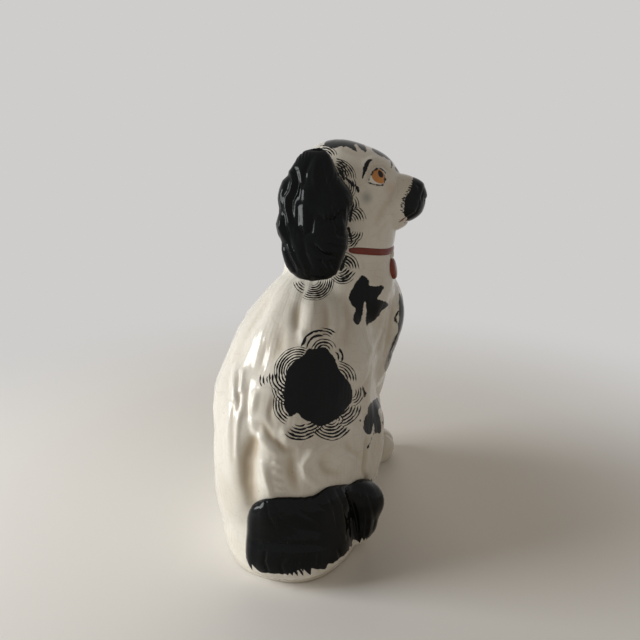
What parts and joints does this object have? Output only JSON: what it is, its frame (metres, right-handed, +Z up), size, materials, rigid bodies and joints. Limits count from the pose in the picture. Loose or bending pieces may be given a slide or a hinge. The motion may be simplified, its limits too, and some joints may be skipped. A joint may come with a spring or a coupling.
{
  "type": "staffordshire dog figure",
  "caption": "Seated glazed earthenware spaniel ornament with its head turned to the side, black ears and tail, combed black patches, a red collar and a locket.",
  "frame": {"origin": "middle of the flat underside", "axes": "+Z up; the dog's chest faces +X and its tail end -X; its face and the figure's front face -Y"},
  "size_m": [0.185, 0.1116, 0.2305],
  "materials": {
    "white_glaze": "glossy glaze over white earthenware",
    "black_glaze": "glossy black underglaze colour",
    "red_enamel": "glossy brick-red enamel"
  },
  "bodies": {
    "root": {"base_plate": "white_glaze", "body_front_half": "white_glaze", "body_back_half": "white_glaze", "head_front_half": "white_glaze", "head_back_half": "white_glaze", "right_ear": "black_glaze", "left_ear": "black_glaze", "right_foreleg": "white_glaze", "left_foreleg": "white_glaze", "tail": "black_glaze", "collar": "red_enamel", "locket": "red_enamel"}
  },
  "joints": []
}
